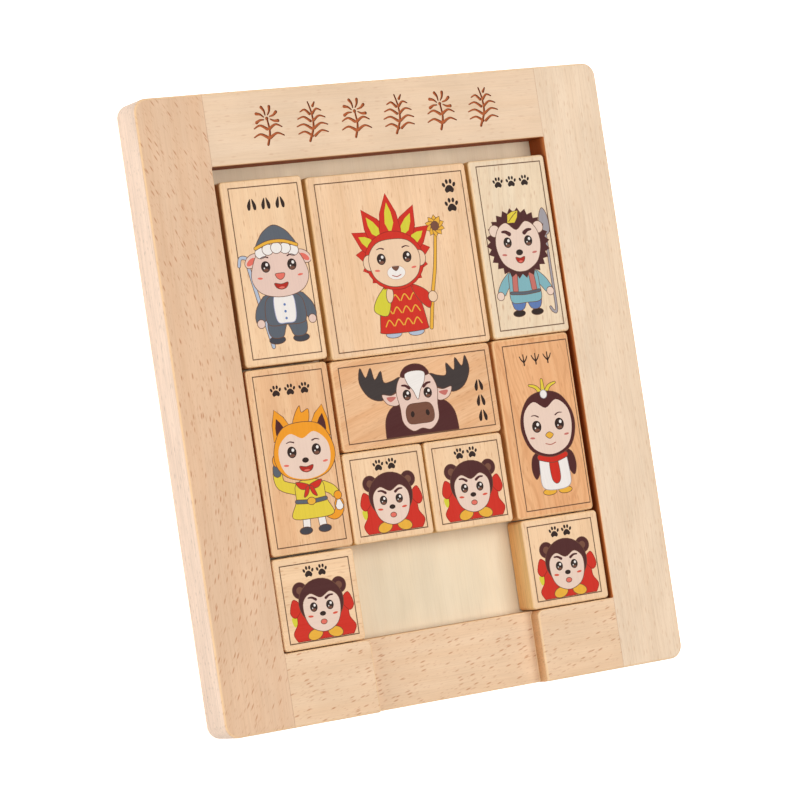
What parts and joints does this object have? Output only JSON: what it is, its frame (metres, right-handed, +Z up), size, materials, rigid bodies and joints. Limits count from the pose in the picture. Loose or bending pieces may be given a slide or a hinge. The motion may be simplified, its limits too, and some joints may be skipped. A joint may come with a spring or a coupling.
{
  "type": "sliding tile puzzle",
  "caption": "Rectangular wooden tray with a raised frame and a milled exit recess, holding loose square and oblong blocks that slide on a grid of cells.",
  "frame": {"origin": "on the surface the tray rests on, under the middle of the tray", "axes": "+X to the right, +Y towards the top rail, opposite the exit recess, +Z up out of the tray"},
  "size_m": [0.1714, 0.202, 0.014],
  "materials": {
    "frame_beech": "sanded beech with a thin matt lacquer",
    "panel_plywood": "sanded basswood plywood",
    "dowel_beech": "plain beech dowel, hidden in the joint",
    "block_beech_honey": "sanded beech, honey tone, with a printed picture",
    "block_beech_straw": "sanded beech, straw tone, with a printed picture"
  },
  "bodies": {
    "tray": {"left_stile": "frame_beech", "right_stile": "frame_beech", "top_rail": "frame_beech", "bottom_rail": "frame_beech", "tray_floor": "panel_plywood", "top_left_upper_dowel": "dowel_beech", "top_left_lower_dowel": "dowel_beech", "top_right_upper_dowel": "dowel_beech", "top_right_lower_dowel": "dowel_beech", "bottom_left_upper_dowel": "dowel_beech", "bottom_left_lower_dowel": "dowel_beech", "bottom_right_upper_dowel": "dowel_beech", "bottom_right_lower_dowel": "dowel_beech"},
    "tall_block_upper_left": {"tall_block_upper_left": "block_beech_straw"},
    "large_square_block": {"large_square_block": "block_beech_straw"},
    "tall_block_upper_right": {"tall_block_upper_right": "block_beech_straw"},
    "tall_block_lower_left": {"tall_block_lower_left": "block_beech_honey"},
    "wide_block": {"wide_block": "block_beech_honey"},
    "tall_block_lower_right": {"tall_block_lower_right": "block_beech_honey"},
    "small_block_inner_left": {"small_block_inner_left": "block_beech_straw"},
    "small_block_inner_right": {"small_block_inner_right": "block_beech_straw"},
    "small_block_corner_left": {"small_block_corner_left": "block_beech_straw"},
    "small_block_corner_right": {"small_block_corner_right": "block_beech_straw"}
  },
  "joints": [
    {"name": "tall_block_upper_left_lift", "type": "slide", "parent": "tray", "child": "tall_block_upper_left", "axis": [0, 0, 1], "range_m": [0, 0.02]},
    {"name": "large_square_block_lift", "type": "slide", "parent": "tray", "child": "large_square_block", "axis": [0, 0, 1], "range_m": [0, 0.02]},
    {"name": "tall_block_upper_right_lift", "type": "slide", "parent": "tray", "child": "tall_block_upper_right", "axis": [0, 0, 1], "range_m": [0, 0.02]},
    {"name": "tall_block_lower_left_lift", "type": "slide", "parent": "tray", "child": "tall_block_lower_left", "axis": [0, 0, 1], "range_m": [0, 0.02]},
    {"name": "wide_block_lift", "type": "slide", "parent": "tray", "child": "wide_block", "axis": [0, 0, 1], "range_m": [0, 0.02]},
    {"name": "tall_block_lower_right_lift", "type": "slide", "parent": "tray", "child": "tall_block_lower_right", "axis": [0, 0, 1], "range_m": [0, 0.02]},
    {"name": "small_block_inner_left_slide", "type": "slide", "parent": "tray", "child": "small_block_inner_left", "axis": [0, -1, 0], "range_m": [0, 0.0297]},
    {"name": "small_block_inner_right_slide", "type": "slide", "parent": "tray", "child": "small_block_inner_right", "axis": [0, -1, 0], "range_m": [0, 0.0297]},
    {"name": "small_block_corner_left_lift", "type": "slide", "parent": "tray", "child": "small_block_corner_left", "axis": [0, 0, 1], "range_m": [0, 0.02]},
    {"name": "small_block_corner_right_lift", "type": "slide", "parent": "tray", "child": "small_block_corner_right", "axis": [0, 0, 1], "range_m": [0, 0.02]}
  ]
}
